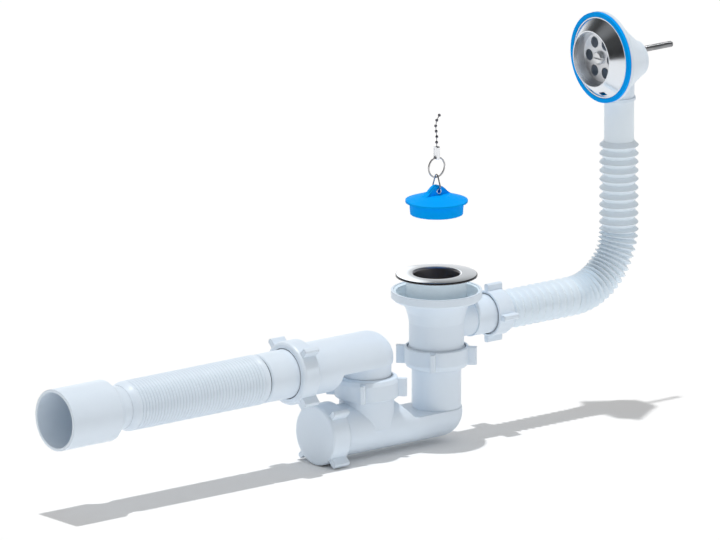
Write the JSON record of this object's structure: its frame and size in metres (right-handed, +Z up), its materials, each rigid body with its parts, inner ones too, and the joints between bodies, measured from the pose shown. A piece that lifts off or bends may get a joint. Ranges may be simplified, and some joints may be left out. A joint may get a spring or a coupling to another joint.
{
  "type": "bath trap",
  "caption": "White plastic bath trap with a chrome strainer waste, a bent bellows overflow with a chrome rosette, a ribbed flexible tail and a blue plug on a chain.",
  "frame": {"origin": "centre of the waste cup's rim, in the plane of the rim that presses on the underside of the bath", "axes": "+Z up out of the bath's outlet, +X from the waste to the overflow, the trap and its tail run to -X"},
  "size_m": [0.636, 0.0748, 0.3291],
  "materials": {
    "white_plastic": "satin moulded",
    "chrome": "polished plating",
    "steel": "zinc plated",
    "brass": "turned",
    "blue_rubber": "smooth soft",
    "seal_rubber": "smooth soft"
  },
  "bodies": {
    "root": {"waste_body": "white_plastic", "waste_nut": "white_plastic", "trap_body": "white_plastic", "cleanout_cap": "white_plastic", "outlet_nut": "white_plastic", "outlet_elbow": "white_plastic", "tail_nut": "white_plastic", "tail_pipe": "white_plastic", "flex_tube": "white_plastic", "sewer_cuff": "white_plastic", "branch_nut": "white_plastic", "overflow_hose": "white_plastic", "overflow_body": "white_plastic", "strainer_dish": "chrome", "overflow_rosette": "chrome", "strainer_screw": "steel", "overflow_screw": "steel", "plug_link": "steel", "pull_ring": "steel", "chain_clasp": "steel", "ball_chain": "steel", "waste_insert_nut": "brass", "overflow_insert_nut": "brass", "overflow_gasket": "blue_rubber", "plug": "blue_rubber", "waste_gasket": "seal_rubber", "waste_cone_seal": "seal_rubber", "cleanout_seal": "seal_rubber", "outlet_cone_seal": "seal_rubber", "tail_cone_seal": "seal_rubber", "branch_seal": "seal_rubber"}
  },
  "joints": []
}
